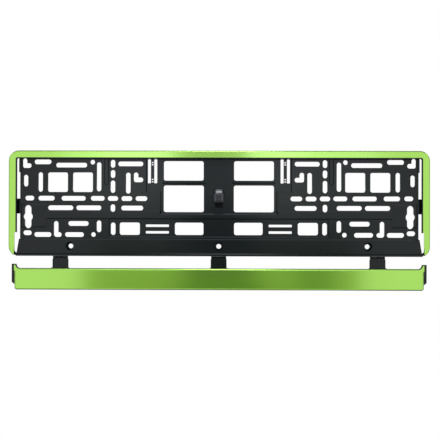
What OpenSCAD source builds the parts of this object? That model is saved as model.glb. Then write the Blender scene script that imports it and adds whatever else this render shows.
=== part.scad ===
// Holder for a 520 x 110 mm number plate: a slotted tray with a raised frame round three sides,
// and a closing strip that hangs below it on three hinged straps, shown open.
// X runs to the right, Z up and the front faces -Y. The origin is the middle screw hole of the
// lower row, at the back plane. Heights are drawn up from the tray's bottom edge.

/* [Tray] */
// Overall width
tray_w = 534; // [533:0.5:536]
// Overall height, without the closing strip
tray_h = 134.3; // [134:0.1:136]
// Depth from the back plane to the front of the frame
tray_d = 12; // [12:0.5:14]
// Radius of the outer corners
corner_r = 13; // [11:1:15]
// Rounding of the frame's front edge
edge_r = 1.4; // [0.8:0.1:2]
// Thickness of the outer walls
wall = 1.6; // [1.4:0.1:2]

/* [Frame face] */
// Height of the coloured face of the top rail
rail_h = 8.7; // [8:0.1:9]
// Width of the coloured face of the side columns
column_w = 9.1; // [8.8:0.1:9.4]
// Width of the columns beside the closed strip
foot_w = 7.2; // [7:0.1:7.4]
// Height at which the columns get narrow
foot_z = 30.4; // [30.4:0.1:32]
// Bare margin inside the coloured face
margin = 1.2; // [0.6:0.1:1.6]
// Thickness of the lip that the number plate sits behind
lip_t = 2.6; // [2:0.1:3]
// Thickness of the coloured film
film_t = 0.2; // [0.1:0.05:0.3]

/* [Back plate] */
// Width of the plate inside the open side gaps
plate_w = 508.5; // [506:0.5:509]
// Depth of the plate's front face, from the back plane
plate_y = 5.3; // [5:0.1:6]
// Thickness of the plate
plate_t = 2.4; // [2:0.1:3]
// Height of one step in the plate's surface
relief = 0.7; // [0.4:0.1:0.8]
// Width of the slope at a step
slope = 0.9; // [0.5:0.1:1]
// Height of the band below the number plate
band_h = 21.9; // [21.5:0.1:22.4]
// How far the band stands in front of the plate
band_step = 1; // [0.7:0.1:1.2]
// Height of the row of screw holes above the bottom edge
hole_z = 12.7; // [11:0.1:13.5]
// Distance from the middle screw hole to the outer ones
hole_pitch = 190; // [186:1:192]
// Diameter of the screw holes
hole_d = 6.2; // [5:0.1:6.6]
// Width of the adjusting slots
slot_w = 6; // [5:0.1:6.2]

/* [Straps] */
// Distance from the middle strap to the outer ones
strap_pitch = 201.5; // [195:0.5:205]
// Width of a strap
strap_w = 20.2; // [16:0.2:22]
// Thickness of a strap
strap_t = 1.3; // [0.8:0.1:1.3]
// Distance between the two hinge lines of a strap
strap_l = 20; // [18:0.5:20]
// Radius of the rounded strap ends at the hinge lines
bead_r = 0.75; // [0.7:0.05:0.8]

/* [Closing strip] */
// Gap at each end between the closed strip and the columns
strip_gap = 0.3; // [0.3:0.1:1]
// Height of the strip's face
strip_h = 27.4; // [26:0.1:27.6]
// Depth of the strip's rims
strip_d = 3.5; // [3.2:0.1:3.6]
// Distance from the strip's top edge down to its hinge line
hinge_drop = 5.5; // [5:0.1:6]
// Height of the pointed horns at the strip's ends
horn_h = 5.2; // [4.4:0.1:5.4]

/* [Hidden] */
$fn = 48;
PLASTIC = "#2d3233";
FILM = "#a6dc6a";
CUT = 1;                                  // how far a cutting shape runs past what it cuts

// Depths of the surfaces; the back plane is 0 and the front is negative
body_front = film_t - tray_d;
lip_back = body_front + lip_t;
plate_front = -plate_y;
plate_back = plate_front + plate_t;
band_front = plate_front - band_step;
band_back = band_front + plate_t;
sill_front = band_front - relief;
raised = plate_front - relief;
sunk = plate_front + relief;

// Upper edge of the plate's pocket, and its half widths
pocket_top = tray_h - rail_h;
column_x = tray_w / 2 - column_w;
foot_x = tray_w / 2 - foot_w;

// Hinge lines of the straps
hinge_y = sill_front - bead_r;
hinge_z = film_t - bead_r;
strip_w = tray_w - 2 * (foot_w + strip_gap);
strip_edge_r = 2;
strip_top = hinge_z - strap_l + hinge_drop;
strip_mid = strip_top - strip_h / 2;

// Screw slots of the right half; the left half is the same, mirrored
// Level slots: centre across, centre up, length
LEVEL_SLOTS = [
    [225.3, 120.4, 22], [188.6, 116.3, 40], [112.8, 118, 32.2],
    [242.2, 74, 11.8], [220.7, 73.9, 21.3], [186, 73.8, 31.3], [155, 73.8, 18],
    [135.5, 73.7, 13.4], [117.7, 73.6, 14], [99, 73.6, 15],
    [202.5, 61.7, 32.6], [166.4, 61.7, 32.3], [110.8, 61.5, 28.3],
    [179.6, 41.6, 26.3], [244.9, 29.6, 11], [225.3, 27.4, 22.2], [184.7, 27.4, 24.5]];
// Upright slots: centre across, centre up, length
UPRIGHT_SLOTS = [
    [153.3, 101.4, 37.2], [135.5, 118.1, 10], [135.5, 105, 10.1], [135.5, 88.8, 15.8],
    [135.5, 61.4, 9.6], [247, 96.3, 15], [228.2, 94.6, 25], [115.9, 93.4, 26.8],
    [153.2, 38, 15], [135.1, 35, 15.8]];
// Angled slots: centre of the lower outer corner, length up, length towards the middle
ANGLED_SLOTS = [[248.3, 115.6, 12.2, 11.4], [105.9, 97.6, 12.4, 12.2], [208.1, 27.4, 20.2, 10.1]];
// Round holes: centre across, centre up
ROUND_HOLES = [[161.5, 120.1], [160.3, 27.5]];
// Windows: centre across, centre up, width, height
WINDOWS = [
    [44.9, 109.2, 50.9, 24.9], [44.8, 73.5, 51.2, 34], [206, 94.4, 25.8, 25],
    [174, 94.4, 25.8, 25], [113.8, 35.1, 25.8, 15.8], [37.8, 35.1, 36.5, 15.7]];
window_r = 2.6;
// Keyhole slot beside the columns
keyhole = [243.9, 50.2, 29.5];
keyhole_w = 8.6;
keyhole_d = 12;
// Pair of level gaps with a thin bar between them
twin_x = 78.5;
twin_z = [39, 30.6];
twin_size = [29.6, 3.1];
// Sprung finger between two upright gaps
finger_x = [88.9, 80.8];
finger_z = 108.6;
finger_gap = [3.9, 30.5];
finger_pocket_z = [119.8, 117, 98.2, 95.2];
finger_pocket = [2.4, 1.4];
// Sprung bump in the middle: radius, height of its foot, height of its round end
bump_r = 7.5;
bump_foot = 68.5;
bump_top = 81.1;

// Shared shapes

module both_sides() {
    children();
    mirror([1, 0, 0]) children();
}

// Extrudes an outline drawn in X and Z from the depth front to the depth back
module slab(front, back) {
    translate([0, back, 0]) rotate([90, 0, 0]) linear_extrude(height = back - front) children();
}

module box2d(x0, x1, z0, z1) {
    translate([x0, z0]) square([x1 - x0, z1 - z0]);
}

module rounded_rect(w, h, r) {
    square([w - 2 * r, h], center = true);
    square([w, h - 2 * r], center = true);
    for (x = [-1, 1], z = [-1, 1]) translate([x * (w / 2 - r), z * (h / 2 - r)]) circle(r);
}

// Block between two depths: its outline is full at one depth and smaller by run at the other.
// It goes on straight past the full outline, to the depth root.
module ramped(x0, x1, z0, z1, root, full, narrow, run) {
    intersection() {
        translate([0, 0, z0]) linear_extrude(height = z1 - z0)
            ramp_section(x0, x1, root, full, narrow, run);
        translate([x0, 0, 0]) rotate([90, 0, 90]) linear_extrude(height = x1 - x0)
            mirror([1, -1]) ramp_section(z0, z1, root, full, narrow, run);
    }
}

module ramp_section(a, b, root, full, narrow, run) {
    polygon([[a, root], [b, root], [b, full], [b - run, narrow], [a + run, narrow], [a, full]]);
}

module level_slot(length, width) {
    square([length - width, width], center = true);
    for (x = [-1, 1]) translate([x * (length - width) / 2, 0]) circle(d = width);
}

// Half section of a block: full depth, with its front corners rounded by e
module soft_profile(w, d, e) {
    translate([-w / 2, 0]) square([w, d - e]);
    translate([e - w / 2, 0]) square([w - 2 * e, d]);
    for (x = [-1, 1]) translate([x * (w / 2 - e), d - e]) circle(e);
}

// Block with corners of radius r in the front view, and its front edge rounded by e
module soft_block(w, h, r, e, front, back) {
    d = back - front;
    translate([0, back, 0]) mirror([0, 1, 0]) {
        translate([0, 0, r - h / 2]) linear_extrude(height = h - 2 * r) soft_profile(w, d, e);
        translate([r - w / 2, 0, 0]) rotate([0, 90, 0])
            linear_extrude(height = w - 2 * r) soft_profile(h, d, e);
        for (x = [-1, 1], z = [-1, 1])
            translate([x * (w / 2 - r), 0, z * (h / 2 - r)]) rotate([-90, 0, 0])
                rotate_extrude() intersection() {
                    soft_profile(2 * r, d, e);
                    square([r, d]);
                }
    }
}

// Tray

// Outline that the frame leaves open, inset by a bare margin
module frame_opening(bare) {
    r = 2.4;
    x = column_x - bare;
    top = pocket_top - bare;
    box2d(-x, x, foot_z, top - r);
    box2d(r - x, x - r, foot_z, top);
    for (side = [-1, 1]) translate([side * (x - r), top - r]) circle(r);
    box2d(-foot_x, foot_x, -CUT, foot_z);
}

module tray_block(grow, front, back) {
    translate([0, 0, tray_h / 2])
        soft_block(tray_w - 2 * film_t + 2 * grow, tray_h - 2 * film_t + 2 * grow,
                   corner_r - film_t + grow, edge_r + grow, front, back);
}

// Outline inside outer walls of a thickness
module tray_inside(thickness) {
    inset = thickness + film_t;
    translate([0, tray_h / 2])
        rounded_rect(tray_w - 2 * inset, tray_h - 2 * inset, corner_r - inset);
}

// Outer walls, with the lip that runs along the top and down both sides
module frame_shell() {
    difference() {
        tray_block(0, body_front, 0);
        slab(body_front - CUT, CUT) frame_opening(margin);
        foot_edge_room(CUT);
        slab(lip_back, CUT) tray_inside(wall);
    }
}

// Space for the film that wraps round the inner edge of the columns' feet
module foot_edge_room(extra) {
    room_back = body_front + edge_r + film_t;
    slab(body_front - extra, room_back) both_sides() box2d(foot_x - CUT, foot_x + film_t, -CUT, foot_z);
}

// Low wall along the bottom edge and round the lower corners, with its raised front bead
module sill() {
    corner_t = wall + 0.6;
    bead_h = wall + 2;
    bead_run = 1.1;
    slab(sill_front, 0) difference() {
        intersection() {
            translate([0, tray_h / 2])
                rounded_rect(tray_w - 2 * film_t, tray_h - 2 * film_t, corner_r - film_t);
            box2d(-foot_x - film_t, foot_x + film_t, 0, corner_r);
        }
        tray_inside(corner_t);
    }
    translate([-band_x(0), 0, 0]) rotate([90, 0, 90]) linear_extrude(height = 2 * band_x(0))
        polygon([[band_back, film_t], [band_back, bead_h], [band_front, bead_h],
                 [sill_front, bead_h - bead_run], [sill_front, film_t]]);
}

// Half width of the band at a height: its ends lean outwards to the bottom
function band_x(z) = plate_w / 2 + 1.1 + 3.7 * (1 - z / band_h);

// Band below the number plate; its top edge is sloped
module band() {
    intersection() {
        slab(band_front - CUT, band_back)
            polygon([[-band_x(wall), wall], [band_x(wall), wall],
                     [band_x(band_h), band_h], [-band_x(band_h), band_h]]);
        translate([-tray_w / 2, 0, 0]) rotate([90, 0, 90]) linear_extrude(height = tray_w)
            polygon([[band_back, 0], [band_back, band_h], [band_front + relief, band_h],
                     [band_front, band_h - slope], [band_front, 0]]);
    }
}

// Tab that ties the plate to a column; its outer half lies deeper
module bridge() {
    low = 54.2;
    high = 73.4;
    step_x = plate_w / 2 + 2.3;
    drop = 1.6;
    slab(plate_front, plate_back) box2d(plate_w / 2 - wall, step_x, low, high);
    slab(plate_front + drop, plate_back + drop) box2d(step_x - wall, tray_w / 2 - wall, low, high);
}

// Walls behind the plate's side edges, down to the back plane
module side_rim() {
    slab(plate_front, 0) box2d(plate_w / 2 - wall, plate_w / 2, band_h - wall, tray_h - wall);
    slab(band_front, 0) box2d(plate_w / 2 - wall, plate_w / 2 + 1.1, 107.1, tray_h - wall);
}

// Raised rib with a round lower end, beside the tall slot
module raised_rib() {
    rib_x = 143.4;
    rib_w = 5.8;
    rib_end = 90.5;
    turn_z = rib_end + rib_w / 2;
    ramped(rib_x - rib_w / 2, rib_x + rib_w / 2, turn_z - slope, tray_h - wall,
           plate_back, plate_front, raised, slope);
    translate([rib_x, plate_front, turn_z]) rotate([90, 0, 0])
        cylinder(d1 = rib_w, d2 = rib_w - 2 * slope, h = relief);
}

// Raised panel beside the keyhole slot, and the long rib that joins the two panels
module raised_fields() {
    panel_x = 220.2;
    rib_low = 47.5;
    rib_high = 58;
    rib_x = panel_x + 3 * slope;
    both_sides() ramped(panel_x, plate_w / 2 - wall, 36.6, 66.5, plate_back, plate_front, raised, slope);
    ramped(-rib_x, rib_x, rib_low, rib_high, plate_back, plate_front, raised, slope);
}

// Fine ribs between the upper and the middle windows
module window_ribs() {
    both_sides() ramped(17, 72, 92.4, 94.8, plate_back, sunk, plate_front, slope);
}

// Recesses in the plate's front, with sloped edges
module sunk_fields() {
    above = band_front - CUT;
    middle_x = 75.4;
    ramped(-middle_x, middle_x, 53, 2 * tray_h, above, raised, sunk, 2 * slope);
    ramped(-140.6, 140.6, 24.2, 48.2, above, plate_front, sunk, slope);
    both_sides() ramped(70, 93.1, 81.6, 2 * tray_h, above, plate_front, sunk, slope);
}

// Round-topped bump in the middle that presses on the number plate
module bump() {
    proud = 2.4;
    intersection() {
        translate([0, plate_front - proud + bump_r, 0]) {
            translate([0, 0, bump_foot]) cylinder(r = bump_r, h = bump_top - bump_foot);
            translate([0, 0, bump_top]) sphere(bump_r);
        }
        slab(plate_front - proud - CUT, plate_back)
            box2d(-bump_r, bump_r, bump_foot, bump_top + bump_r);
    }
}

// Hollow below the bump's foot, and the shallow groove round its upper half
module bump_hollow() {
    half = 5.3;
    flare = 2;
    ring_r = 9.4;
    ramped(-half - flare, half + flare, bump_foot - 6.6, bump_foot + flare,
           band_front, sunk, sunk + relief, flare);
    slab(band_front, sunk + relief / 2) translate([0, bump_top]) difference() {
        circle(ring_r);
        circle(ring_r - 0.9);
        box2d(-ring_r, ring_r, -ring_r, 0);
    }
}

// Small round marks in the plate's front
module marks() {
    for (m = [[243.9, 81.4], [159.9, 113.5]])
        translate([m[0], sunk, m[1]]) rotate([90, 0, 0]) cylinder(d = 1.4, h = 2 * relief);
}

module all_slots() {
    both_sides() {
        for (s = LEVEL_SLOTS) translate([s[0], s[1]]) level_slot(s[2], slot_w);
        for (s = UPRIGHT_SLOTS) translate([s[0], s[1]]) rotate(90) level_slot(s[2], slot_w);
        for (s = ANGLED_SLOTS) translate([s[0], s[1]]) {
            translate([0, (s[2] - slot_w) / 2]) rotate(90) level_slot(s[2], slot_w);
            translate([(slot_w - s[3]) / 2, 0]) level_slot(s[3], slot_w);
        }
        for (h = ROUND_HOLES) translate([h[0], h[1]]) circle(d = slot_w);
        for (w = WINDOWS) translate([w[0], w[1]]) rounded_rect(w[2], w[3], window_r);
        translate([keyhole[0], keyhole[1]]) {
            rotate(90) level_slot(keyhole[2], keyhole_w);
            circle(d = keyhole_d);
        }
        for (z = twin_z) translate([twin_x, z]) rounded_rect(twin_size[0], twin_size[1], 0.8);
        for (x = finger_x) translate([x, finger_z]) rounded_rect(finger_gap[0], finger_gap[1], 0.9);
        for (z = finger_pocket_z) translate([(finger_x[0] + finger_x[1]) / 2, z])
            square(finger_pocket, center = true);
    }
}

// Places something at each of the three screw holes
module at_holes() {
    for (i = [-1, 0, 1]) translate([i * hole_pitch, 0, hole_z]) rotate([90, 0, 0]) children();
}

module tray_plate() {
    boss_d = 13;
    sink_d = 11;
    sink_back = 2.5;
    difference() {
        union() {
            slab(plate_front, plate_back)
                box2d(-plate_w / 2, plate_w / 2, band_h - plate_t, tray_h - wall);
            band();
            both_sides() {
                raised_rib();
                bridge();
                side_rim();
            }
            raised_fields();
            at_holes() cylinder(d = boss_d, h = -band_back);
        }
        slab(-tray_d, CUT) all_slots();
        sunk_fields();
        bump_hollow();
        both_sides() marks();
        at_holes() translate([0, 0, -CUT]) cylinder(d = hole_d, h = tray_d);
        at_holes() translate([0, 0, sink_back])
            cylinder(d1 = hole_d, d2 = sink_d, h = -band_front - sink_back);
    }
}

module base_frame() {
    color(PLASTIC) translate([0, 0, -hole_z]) {
        frame_shell();
        sill();
        tray_plate();
        window_ribs();
        bump();
    }
}

// Metallic film on the frame's front and rounded outer edge
module frame_film() {
    color(FILM) translate([0, 0, -hole_z]) difference() {
        tray_block(film_t, -tray_d, body_front + edge_r + film_t);
        difference() {
            tray_block(0, body_front, 0);
            foot_edge_room(0);
        }
        slab(-tray_d - CUT, 0) frame_opening(0);
    }
}

// Straps

module strap(x) {
    neck_w = strap_w - 1;
    neck_t = 0.5;
    neck_l = 2.9;
    color(PLASTIC) translate([x, hinge_y, hinge_z - hole_z]) {
        for (z = [0, -strap_l]) translate([-neck_w / 2, 0, z]) rotate([0, 90, 0])
            cylinder(r = bead_r, h = neck_w);
        translate([-neck_w / 2, -neck_t / 2, -strap_l]) cube([neck_w, neck_t, strap_l]);
        translate([-strap_w / 2, -strap_t / 2, neck_l / 2 - strap_l])
            cube([strap_w, strap_t, strap_l - 1.5 * neck_l]);
    }
}

module strap_left() { strap(-strap_pitch); }
module strap_centre() { strap(0); }
module strap_right() { strap(strap_pitch); }

// Closing strip

// Pointed end that rises above the strip's top edge, with a hollow curve on its inner side.
// A bare margin is left out along its top and its curve.
module horn(grow, bare) {
    outer_x = strip_w / 2 - film_t + grow;
    point_w = 2.4;
    curve_r = 4.8;
    root_x = outer_x - point_w - curve_r - grow;
    difference() {
        box2d(root_x, outer_x, strip_top - 3.2, strip_top + horn_h - film_t + grow - bare);
        box2d(root_x - CUT, outer_x - point_w - grow + bare, strip_top + curve_r - film_t,
              strip_top + horn_h + CUT);
        translate([root_x, strip_top + curve_r]) circle(curve_r + film_t - grow + bare);
    }
}

module strip_block(grow, front, back, bare = 0) {
    w = strip_w - 2 * film_t + 2 * grow;
    h = strip_h - 2 * film_t + 2 * grow;
    translate([0, 0, strip_mid]) soft_block(w, h, 2.8 + grow, strip_edge_r + grow, front, back);
    slab(front, back) both_sides() horn(grow, bare);
}

// Snap hook: an end wall that runs back from the strip and turns outwards behind the column
module end_hook() {
    outer_x = strip_w / 2 - film_t;
    reach = 4.2;
    bar_top = strip_top + horn_h;
    bar_low = bar_top - 24.6;
    hook_front = lip_back + 0.3;
    slab(body_front + strip_edge_r, hook_front + wall)
        box2d(outer_x - wall, outer_x, bar_low, bar_top - film_t);
    slab(hook_front, hook_front + wall)
        polygon([[outer_x - wall, bar_low - 2], [outer_x, bar_low - 2], [outer_x + reach, bar_low + 1.6],
                 [outer_x + reach, bar_top], [outer_x - wall, bar_top]]);
}

// Room behind a given depth, which trims the rounded edges of a shallow block
module behind_strip(depth) {
    slab(depth, 0) box2d(-strip_w, strip_w, strip_top - 2 * strip_h, strip_top + strip_h);
}

module closing_strip() {
    rim_back = body_front + strip_d - film_t;
    rim_t = strip_edge_r;
    inner = strip_w - 2 * film_t - 2 * rim_t;
    rib_t = 1.6;
    tab_w = strap_w + 2.4;
    ledge_back = hinge_y - bead_r - 0.25;
    film_back = body_front + strip_edge_r + film_t;
    color(PLASTIC) translate([0, 0, -hole_z]) {
        difference() {
            strip_block(0, body_front, rim_back);
            behind_strip(rim_back);
            slab(body_front + wall, rim_back + CUT) translate([0, strip_mid])
                rounded_rect(inner, strip_h - 2 * film_t - 2 * rim_t, 1.4);
        }
        both_sides() end_hook();
        for (i = [-1, 0, 1]) translate([i * strap_pitch, 0, 0]) {
            // Ledge that ends just in front of the strap's lower hinge line
            slab(body_front + wall / 2, ledge_back) translate([0, hinge_z - strap_l])
                square([strap_w, rib_t], center = true);
            // Low tab that shows above the strip's top edge in front of the strap
            slab(film_back, ledge_back)
                box2d(-tab_w / 2, tab_w / 2, strip_top - 2 * wall, strip_top + 0.9);
        }
    }
}

// Metallic film on the strip's front and rounded edges
module strip_film() {
    color(FILM) translate([0, 0, -hole_z]) difference() {
        strip_block(film_t, -tray_d, body_front + strip_edge_r + film_t, 1);
        strip_block(0, body_front, 0);
        behind_strip(body_front + strip_edge_r + film_t);
    }
}

base_frame();
frame_film();
strap_left();
strap_centre();
strap_right();
closing_strip();
strip_film();
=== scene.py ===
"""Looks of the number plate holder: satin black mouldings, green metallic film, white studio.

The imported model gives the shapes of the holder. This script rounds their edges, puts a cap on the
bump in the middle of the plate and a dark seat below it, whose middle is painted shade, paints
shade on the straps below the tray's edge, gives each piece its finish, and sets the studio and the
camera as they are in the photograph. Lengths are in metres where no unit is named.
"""
import math

import bmesh
import bpy
from mathutils import Euler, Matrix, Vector


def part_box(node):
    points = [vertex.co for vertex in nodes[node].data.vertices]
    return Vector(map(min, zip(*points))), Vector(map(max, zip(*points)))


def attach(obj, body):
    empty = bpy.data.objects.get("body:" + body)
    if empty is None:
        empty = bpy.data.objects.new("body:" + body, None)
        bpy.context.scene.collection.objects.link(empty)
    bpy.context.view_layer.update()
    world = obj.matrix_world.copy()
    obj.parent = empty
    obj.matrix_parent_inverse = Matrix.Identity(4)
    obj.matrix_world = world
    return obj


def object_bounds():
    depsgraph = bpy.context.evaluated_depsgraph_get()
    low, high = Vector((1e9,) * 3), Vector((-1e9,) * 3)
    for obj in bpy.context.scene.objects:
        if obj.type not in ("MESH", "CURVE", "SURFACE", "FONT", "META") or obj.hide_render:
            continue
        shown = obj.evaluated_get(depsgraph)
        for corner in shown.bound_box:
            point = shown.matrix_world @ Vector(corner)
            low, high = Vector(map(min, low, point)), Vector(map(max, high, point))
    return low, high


# The photograph: 440 pixels wide, taken straight from the front
PHOTO_PX = 440
MM_PER_PX = 1.265
FRAME_CENTRE_PX = 218.71
TRAY_BOTTOM_PX = 256.58
CAMERA_DISTANCE = 0.75
CAMERA_YAW_DEG = 0.45
CAMERA_TILT_DEG = 0.22
CAMERA_ROLL_DEG = -0.143

# Finishes, as linear colours
PLASTIC = (0.0021, 0.0049, 0.0057)
# Painted shade: a dark colour that stands in for the shadow in the straps' hinge groove and in the
# pocket below the nub
PAINTED_SHADE = (0.0072, 0.0076, 0.0084)
FILM_GREEN = (0.385, 0.725, 0.115)
FLAG_DARK = (0.05, 0.06, 0.05)

# How strongly the plastic mirrors as moulded and where it is rubbed smooth; the gloss and roughness
# of the dull dark finish that paints shade
MOULDED_GLOSS = 0.32
RUBBED_GLOSS = 0.62
PAINTED_SHADE_GLOSS = 0.02
PAINTED_SHADE_ROUGHNESS = 0.6

# Rounding of the mouldings' edges
EDGE_ROUND = 0.00028
WELD_DISTANCE = 0.000005

# Height of the band of painted shade on the straps, below the tray's bottom edge, where the film
# hinge's groove lies in shadow
STRAP_PAINTED_SHADE_HEIGHT = 0.0024

# The nub in the middle of the plate, in millimetres above the tray's bottom edge. Its upright
# profile is given as slopes in degrees; it stands on the sunk middle panel.
PANEL_Y = -4.6
NUB_HALF = 7.2
NUB_CREST = (71.0, 5.0)
NUB_SLOPES = [(68.3, -86), (68.5, -84), (68.9, -2), (71.0, 0), (74.0, 4), (77.9, 7), (79.3, 11),
              (80.3, 18), (81.0, 21), (82.9, 22), (84.0, 25), (85.4, 30), (86.2, 55), (86.7, 72),
              (87.3, 80)]
# Where the nub starts to narrow towards its top, and over what height it would close
NUB_TAPER_FROM = 79
NUB_TAPER_RUN = 9.4
# How far the nub's rim reaches behind the panel, and past its profile's ends
NUB_SINK = 0.1
NUB_RIM = 0.05
NUB_STEPS = 28
# The seat below it, from its lower to its upper edge: half widths of the plain patch and of the
# dark patch of painted shade
SEAT_LOW = 61.8
SEAT_HIGH = 68.6
SEAT_HALF = 7.35
SEAT_PAINTED_SHADE_HALF = 4.8

# Studio
WORLD_FILL = 0.76
FLOOR_Z = -0.45
FLOOR_HALF = 0.5
FLOOR_GREY = 0.48
FLOOR_LIFT = 0.46
OVERHEAD_Z = 1.08

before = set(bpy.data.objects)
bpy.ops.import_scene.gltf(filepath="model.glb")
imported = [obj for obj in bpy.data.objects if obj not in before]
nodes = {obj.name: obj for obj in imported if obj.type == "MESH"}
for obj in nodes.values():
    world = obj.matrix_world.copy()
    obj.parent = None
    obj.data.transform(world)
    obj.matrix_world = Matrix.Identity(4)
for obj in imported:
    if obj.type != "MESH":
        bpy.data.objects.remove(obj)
cad_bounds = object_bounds()


class Value:
    """A shader socket that can be used in plain arithmetic."""

    def __init__(self, tree, socket):
        self.tree = tree
        self.socket = socket

    def _math(self, operation, *terms):
        node = self.tree.nodes.new("ShaderNodeMath")
        node.operation = operation
        for slot, term in zip(node.inputs, terms):
            if isinstance(term, Value):
                self.tree.links.new(term.socket, slot)
            else:
                slot.default_value = term
        return Value(self.tree, node.outputs[0])

    def __add__(self, other):
        return self._math("ADD", self, other)

    def __radd__(self, other):
        return self._math("ADD", other, self)

    def __mul__(self, other):
        return self._math("MULTIPLY", self, other)

    def __rmul__(self, other):
        return self._math("MULTIPLY", other, self)

    def above(self, limit):
        return self._math("GREATER_THAN", self, limit)


class Shader:
    """A material or world under construction."""

    def __init__(self, owner):
        owner.use_nodes = True
        self.owner = owner
        self.tree = owner.node_tree
        self.tree.nodes.clear()

    def add(self, kind, settings=None, **sockets):
        """Adds a node, sets its own properties, then fills its sockets by name."""
        node = self.tree.nodes.new(kind)
        for name, value in (settings or {}).items():
            setattr(node, name, value)
        for name, value in sockets.items():
            self.fill(self.slot_of(node, name), value)
        return node

    def fill(self, slot, value):
        if isinstance(value, Value):
            self.tree.links.new(value.socket, slot)
        else:
            slot.default_value = value

    @staticmethod
    def slot_of(node, name):
        wanted = name.replace("_", " ").lower()
        for slot in node.inputs:
            if slot.enabled and slot.name.lower() == wanted:
                return slot
        raise KeyError(f"{node.bl_idname} has no input {wanted}")

    def out(self, node, name=None):
        return Value(self.tree, node.outputs[name or 0])

    def join(self, node, first, second):
        """Feeds two surfaces to a node that mixes or adds them."""
        slots = [slot for slot in node.inputs if slot.type == "SHADER"]
        for slot, surface in zip(slots, (first, second)):
            self.fill(slot, self.out(surface))
        return node

    def finish(self, kind, surface):
        """Shows a surface; a later call replaces an earlier one's."""
        ends = [node for node in self.tree.nodes if node.bl_idname == kind]
        end = ends[0] if ends else self.add(kind)
        self.fill(end.inputs["Surface"], self.out(surface))


def principled(name, colour, roughness, **sockets):
    """Starts a material; returns its shader helper and its main node."""
    shader = Shader(bpy.data.materials.new(name))
    main = shader.add("ShaderNodeBsdfPrincipled", Base_Color=(*colour, 1),
                      Roughness=roughness, **sockets)
    shader.finish("ShaderNodeOutputMaterial", main)
    return shader, main


def moulded_shader(name, gloss):
    """Black plastic: satin, a little uneven, with the fine grain of a spark-eroded mould."""
    shader, main = principled(name, PLASTIC, 0.2, Specular_IOR_Level=gloss)
    place = shader.out(shader.add("ShaderNodeTexCoord"), "Object")
    cloud = shader.out(shader.add("ShaderNodeTexNoise", Vector=place, Scale=14.0, Detail=3.0))
    sink = shader.out(shader.add("ShaderNodeTexNoise", Vector=place, Scale=17.0, Detail=1.0))
    grain = shader.out(shader.add("ShaderNodeTexNoise", Vector=place, Scale=2600.0, Detail=2.0))
    shader.fill(shader.slot_of(main, "Roughness"), 0.15 + 0.09 * cloud)
    warp = shader.add("ShaderNodeBump", Strength=1.0, Distance=0.0006, Height=sink)
    bump = shader.add("ShaderNodeBump", Strength=0.22, Distance=0.00004, Height=grain,
                      Normal=shader.out(warp))
    shader.fill(shader.slot_of(main, "Normal"), shader.out(bump))
    return shader, main


def moulded_plastic(name, gloss):
    return moulded_shader(name, gloss)[0].owner


def strap_plastic_painted_shade():
    """The same plastic, painted with a dull dark band of shade below the tray's edge, where the
    film hinge lies in shadow.
    """
    shader, main = moulded_shader("strap_plastic_painted_shade", MOULDED_GLOSS)
    dark = shader.add("ShaderNodeBsdfPrincipled", Base_Color=(*PAINTED_SHADE, 1),
                      Roughness=PAINTED_SHADE_ROUGHNESS, Specular_IOR_Level=PAINTED_SHADE_GLOSS)
    place = shader.out(shader.add("ShaderNodeTexCoord"), "Object")
    height = shader.out(shader.add("ShaderNodeSeparateXYZ", Vector=place), "Z")
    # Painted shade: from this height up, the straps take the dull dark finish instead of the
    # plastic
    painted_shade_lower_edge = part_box("base_frame")[0][2] - STRAP_PAINTED_SHADE_HEIGHT
    mix = shader.add("ShaderNodeMixShader", Fac=height.above(painted_shade_lower_edge))
    shader.finish("ShaderNodeOutputMaterial", shader.join(mix, main, dark))
    return shader.owner


def seat_painted_shade():
    """Painted shade: a dull dark finish for the patch below the nub, standing for the shadow in its
    pocket.
    """
    shader, _ = principled("seat_painted_shade", PAINTED_SHADE, PAINTED_SHADE_ROUGHNESS, Specular_IOR_Level=PAINTED_SHADE_GLOSS)
    return shader.owner


def green_film():
    """Light green metallic film under a clear gloss layer."""
    shader, main = principled("green_film", FILM_GREEN, 0.16, Metallic=1.0,
                              Coat_Weight=0.6, Coat_Roughness=0.08)
    place = shader.out(shader.add("ShaderNodeTexCoord"), "Object")
    ripple = shader.out(shader.add("ShaderNodeTexNoise", Vector=place, Scale=24.0, Detail=2.0))
    bump = shader.add("ShaderNodeBump", Strength=0.1, Distance=0.0002, Height=ripple)
    shader.fill(shader.slot_of(main, "Normal"), shader.out(bump))
    return shader.owner


def dress(node, material, edge):
    """Gives a CAD node its material, and rounds its edges."""
    piece = nodes[node]
    piece.data.materials.clear()
    piece.data.materials.append(material)
    if edge:
        weld = piece.modifiers.new("weld", "WELD")
        weld.merge_threshold = WELD_DISTANCE
        bevel = piece.modifiers.new("edges", "BEVEL")
        bevel.width = edge
        bevel.segments = 2
        bevel.limit_method = "ANGLE"
        bevel.angle_limit = math.radians(40)
        bevel.harden_normals = True


def pale_surface():
    """Pale matt surface that is lifted to white for the camera and in reflections."""
    shader = Shader(bpy.data.materials.new("studio_white"))
    seen = shader.add("ShaderNodeLightPath")
    lift = FLOOR_LIFT * (shader.out(seen, "Is Camera Ray") + shader.out(seen, "Is Glossy Ray"))
    glow = shader.add("ShaderNodeEmission", Color=(1, 1, 1, 1), Strength=lift)
    matt = shader.add("ShaderNodeBsdfDiffuse", Color=(FLOOR_GREY, FLOOR_GREY, FLOOR_GREY, 1))
    both = shader.add("ShaderNodeAddShader")
    shader.finish("ShaderNodeOutputMaterial", shader.join(both, matt, glow))
    return shader.owner


def card_surface(name, colour):
    shader = Shader(bpy.data.materials.new(name))
    glow = shader.add("ShaderNodeEmission", Color=(*colour, 1), Strength=1.0)
    shader.finish("ShaderNodeOutputMaterial", glow)
    return shader.owner


def box_corners(left, right, low, high):
    return [(left, low), (right, low), (right, high), (left, high)]


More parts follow.
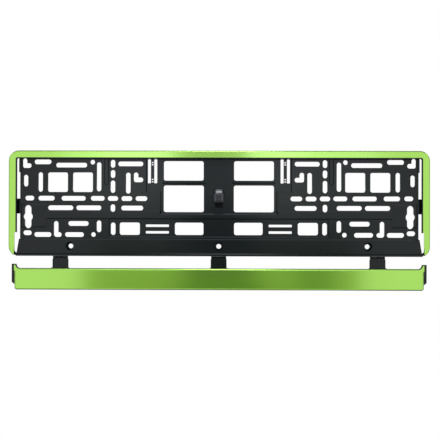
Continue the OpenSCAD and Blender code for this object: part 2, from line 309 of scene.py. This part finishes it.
def sheet_mesh(name, corners, material):
    """A flat four-cornered mesh."""
    mesh = bpy.data.meshes.new(name)
    mesh.from_pydata(corners, [], [(0, 1, 2, 3)])
    mesh.materials.append(material)
    return mesh


def placed(name, mesh):
    piece = bpy.data.objects.new(name, mesh)
    bpy.context.scene.collection.objects.link(piece)
    return piece


def stage_sheet(name, corners, material):
    """A flat piece of the studio."""
    piece = placed(name, sheet_mesh(name, corners, material))
    return piece


def gloss_card(name, corners, colour):
    """A sheet that only reflections show: a glowing card, or a flag where its colour is dark."""
    card = stage_sheet(name, corners, card_surface(name, colour))
    card.visible_camera = False
    card.visible_diffuse = False
    card.visible_transmission = False
    card.visible_shadow = False


def set_world(fill):
    """White background for the camera and for reflections, with softer light on matt surfaces."""
    world = bpy.data.worlds.new("studio")
    bpy.context.scene.world = world
    shader = Shader(world)
    seen = shader.add("ShaderNodeLightPath")
    white = (shader.out(seen, "Is Camera Ray") + shader.out(seen, "Is Glossy Ray")
             + shader.out(seen, "Is Transmission Ray"))
    strength = fill + (1.0 - fill) * white.above(0.5)
    sky = shader.add("ShaderNodeBackground", Color=(1, 1, 1, 1), Strength=strength)
    shader.finish("ShaderNodeOutputWorld", sky)


def front_cards():
    """Cards behind the camera, which give the film and the plastic their bands of light."""
    # Distance in front of the holder, colour, corners (across, up)
    cards = {
        "card_spot": (0.795, (16.0, 16.6, 17.2), box_corners(-0.12, 0.12, 0.82, 0.97)),
        "card_dark": (0.815, (0.08, 0.09, 0.08), box_corners(-1.3, 1.3, 0.60, 1.1)),
        "card_high": (0.805, (2.3, 2.3, 2.6), box_corners(-0.46, 0.46, 0.42, 0.60)),
        "card_glow_top": (0.81, (1.22, 1.12, 1.62), box_corners(-0.42, 0.41, 0.20, 0.42)),
        "card_glow_top_in": (0.808, (1.50, 1.28, 2.30), box_corners(-0.31, 0.22, 0.20, 0.42)),
        "card_glow": (0.81, (1.36, 1.48, 1.36), box_corners(-0.42, 0.41, 0.10, 0.20)),
        "card_glow_in": (0.808, (1.75, 1.88, 1.72), box_corners(-0.33, 0.22, 0.08, 0.20)),
        "card_low": (0.80, (0.455, 0.49, 0.27), box_corners(-0.357, 0.358, -0.32, -0.07)),
        "card_low_mid": (0.80, (0.44, 0.52, 0.44), box_corners(-0.357, 0.358, -0.07, 0.0)),
        "card_side": (0.79, (0.26, 0.33, 0.15), box_corners(0.195, 0.29, -0.32, -0.07)),
        "card_side_mid": (0.79, (0.23, 0.28, 0.25), box_corners(0.195, 0.29, -0.07, 0.0)),
        "card_foot": (0.785, (0.20, 0.275, 0.11),
                      [(-0.29, -0.32), (0.29, -0.32), (0.06, -0.09), (-0.06, -0.09)]),
        "card_core": (0.78, (0.18, 0.18, 0.20), box_corners(-0.105, 0.085, -0.10, 0.083)),
        "card_core_mid": (0.78, (0.86, 0.96, 0.96), box_corners(-0.112, 0.072, 0.083, 0.185)),
        "card_core_top": (0.78, (0.59, 0.59, 0.59), box_corners(-0.122, 0.064, 0.185, 0.42)),
    }
    for name, (away, colour, corners) in cards.items():
        gloss_card(name, [(x, -away, z) for x, z in corners], colour)


def dark_flags():
    """Dark sheets beside, above, behind and below, which draw the edges of the relief."""
    for name, x in (("flag_left", -1.0), ("flag_right", 1.0)):
        gloss_card(name, [(x, y, z) for y, z in box_corners(-0.62, -0.04, -0.32, 0.5)], FLAG_DARK)
    gloss_card("flag_above", [(x, y, 1.1) for x, y in box_corners(-1.3, 1.3, -0.82, 1.0)],
               FLAG_DARK)
    gloss_card("flag_behind", [(x, 1.0, z) for x, z in box_corners(-1.3, 1.3, 0.14, 1.1)],
               FLAG_DARK)
    gloss_card("flag_below", [(x, y, -0.3) for x, y in box_corners(-1.5, 1.5, -0.2, 0.5)],
               FLAG_DARK)


def overhead_cards():
    """Cards overhead, which light the ramps that face up and the nub's top."""
    # Half width, near and far edge, colour
    cards = {"card_ramps": (1.0, -0.42, -0.12, (1.4, 1.45, 1.55)),
             "card_halo": (0.18, -0.79, -0.42, (2.6, 2.7, 2.8))}
    for name, (half, near, far, colour) in cards.items():
        corners = box_corners(-half, half, near, far)
        gloss_card(name, [(x, y, OVERHEAD_Z) for x, y in corners], colour)


def overhead_lamp():
    """The soft light from above and in front."""
    lamp = bpy.data.lights.new("overhead", "AREA")
    lamp.size = 0.7
    lamp.energy = 9.0
    rig = placed("overhead", lamp)
    rig.location = (0.0, -0.6, 1.0)
    rig.rotation_euler = (math.radians(32), 0, 0)
    rig.visible_glossy = False


def studio():
    """Floor, white surroundings, a soft overhead light, and cards and flags for reflections."""
    set_world(WORLD_FILL)
    floor = box_corners(-FLOOR_HALF, FLOOR_HALF, -FLOOR_HALF, FLOOR_HALF)
    stage_sheet("floor", [(x, y, FLOOR_Z) for x, y in floor], pale_surface())
    front_cards()
    dark_flags()
    overhead_cards()
    overhead_lamp()


def nub_rows():
    """Heights of the nub above the panel, worked out from its slopes on both sides of the crest."""
    ups = [up for up, _ in NUB_SLOPES]
    tops = {NUB_CREST[0]: NUB_CREST[1]}
    crest = ups.index(NUB_CREST[0])
    for i in range(crest, len(ups) - 1):
        mean = math.radians((NUB_SLOPES[i][1] + NUB_SLOPES[i + 1][1]) / 2)
        tops[ups[i + 1]] = tops[ups[i]] - math.tan(mean) * (ups[i + 1] - ups[i])
    for i in range(crest, 0, -1):
        mean = math.radians((NUB_SLOPES[i][1] + NUB_SLOPES[i - 1][1]) / 2)
        tops[ups[i - 1]] = tops[ups[i]] + math.tan(mean) * (ups[i] - ups[i - 1])
    inner = [(up, max(tops[up], -NUB_SINK)) for up in ups]
    return [(ups[0] - NUB_RIM, -NUB_SINK)] + inner + [(ups[-1] + NUB_RIM, -NUB_SINK)]


def nub_mesh(material):
    """Cap of the nub: a ramp at its top, a level crest below, rounded sides."""
    tray_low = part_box("base_frame")[0][2]
    mesh = bpy.data.meshes.new("nub")
    shell = bmesh.new()
    rows = []
    for up, height in nub_rows():
        half = NUB_HALF * math.sqrt(1 - (max(0.0, up - NUB_TAPER_FROM) / NUB_TAPER_RUN) ** 2)
        row = []
        for k in range(NUB_STEPS + 1):
            across = math.sin(math.pi * (k / NUB_STEPS - 0.5))
            lift = (height + NUB_SINK) * (1 - abs(across) ** 5) ** 0.2 - NUB_SINK
            row.append(shell.verts.new((across * half / 1000, (PANEL_Y - lift) / 1000,
                                        tray_low + up / 1000)))
        rows.append(row)
    for low, high in zip(rows, rows[1:]):
        for k in range(NUB_STEPS):
            shell.faces.new((low[k], low[k + 1], high[k + 1], high[k])).smooth = True
    shell.to_mesh(mesh)
    shell.free()
    mesh.materials.append(material)
    return mesh


def seat_mesh(name, half, proud, material):
    """A flat patch below the nub, a little proud of the panel."""
    tray_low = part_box("base_frame")[0][2]
    y = (PANEL_Y - proud) / 1000
    corners = box_corners(-half, half, SEAT_LOW, SEAT_HIGH)
    return sheet_mesh(name, [(x / 1000, y, tray_low + z / 1000) for x, z in corners], material)


def nub(material, shade, plain):
    """The nub's cap, and below it the plain seat with its dark middle of painted shade."""
    # The seat's dark middle is painted shade, standing for the shadow in the pocket below the nub
    meshes = {"nub": nub_mesh(material),
              "seat": seat_mesh("seat", SEAT_HALF, 0.04, plain),
              "seat_painted_shade": seat_mesh("seat_painted_shade", SEAT_PAINTED_SHADE_HALF, 0.06, shade)}
    for name, mesh in meshes.items():
        piece = placed(name, mesh)
        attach(piece, "tray")


def camera():
    """The photograph's view: almost straight on, turned and tilted by less than a degree."""
    px = MM_PER_PX / 1000
    middle = PHOTO_PX / 2
    tray_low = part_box("base_frame")[0][2]
    aim = Vector(((middle - FRAME_CENTRE_PX) * px, cad_bounds[0][1],
                  tray_low + (TRAY_BOTTOM_PX - middle) * px))
    turn = Euler([math.radians(a) for a in (90 + CAMERA_TILT_DEG, CAMERA_ROLL_DEG, CAMERA_YAW_DEG)])
    data = bpy.data.cameras.new("photo_view")
    data.sensor_fit = "HORIZONTAL"
    data.lens = data.sensor_width * CAMERA_DISTANCE / (PHOTO_PX * px)
    eye = placed("photo_view", data)
    eye.rotation_euler = turn
    eye.location = aim - CAMERA_DISTANCE * (turn.to_matrix() @ Vector((0, 0, -1)))
    bpy.context.scene.camera = eye


def main():
    black = moulded_plastic("moulded_plastic", MOULDED_GLOSS)
    strap_with_painted_shade = strap_plastic_painted_shade()
    green = green_film()
    camera()
    for node in ("base_frame", "closing_strip"):
        dress(node, black, EDGE_ROUND)
    for node in ("strap_left", "strap_centre", "strap_right"):
        dress(node, strap_with_painted_shade, EDGE_ROUND)
    for node in ("frame_film", "strip_film"):
        dress(node, green, 0.0)
    nub(moulded_plastic("rubbed_plastic", RUBBED_GLOSS), seat_painted_shade(), black)
    studio()
    scene = bpy.context.scene
    scene.view_settings.view_transform = "Standard"


main()
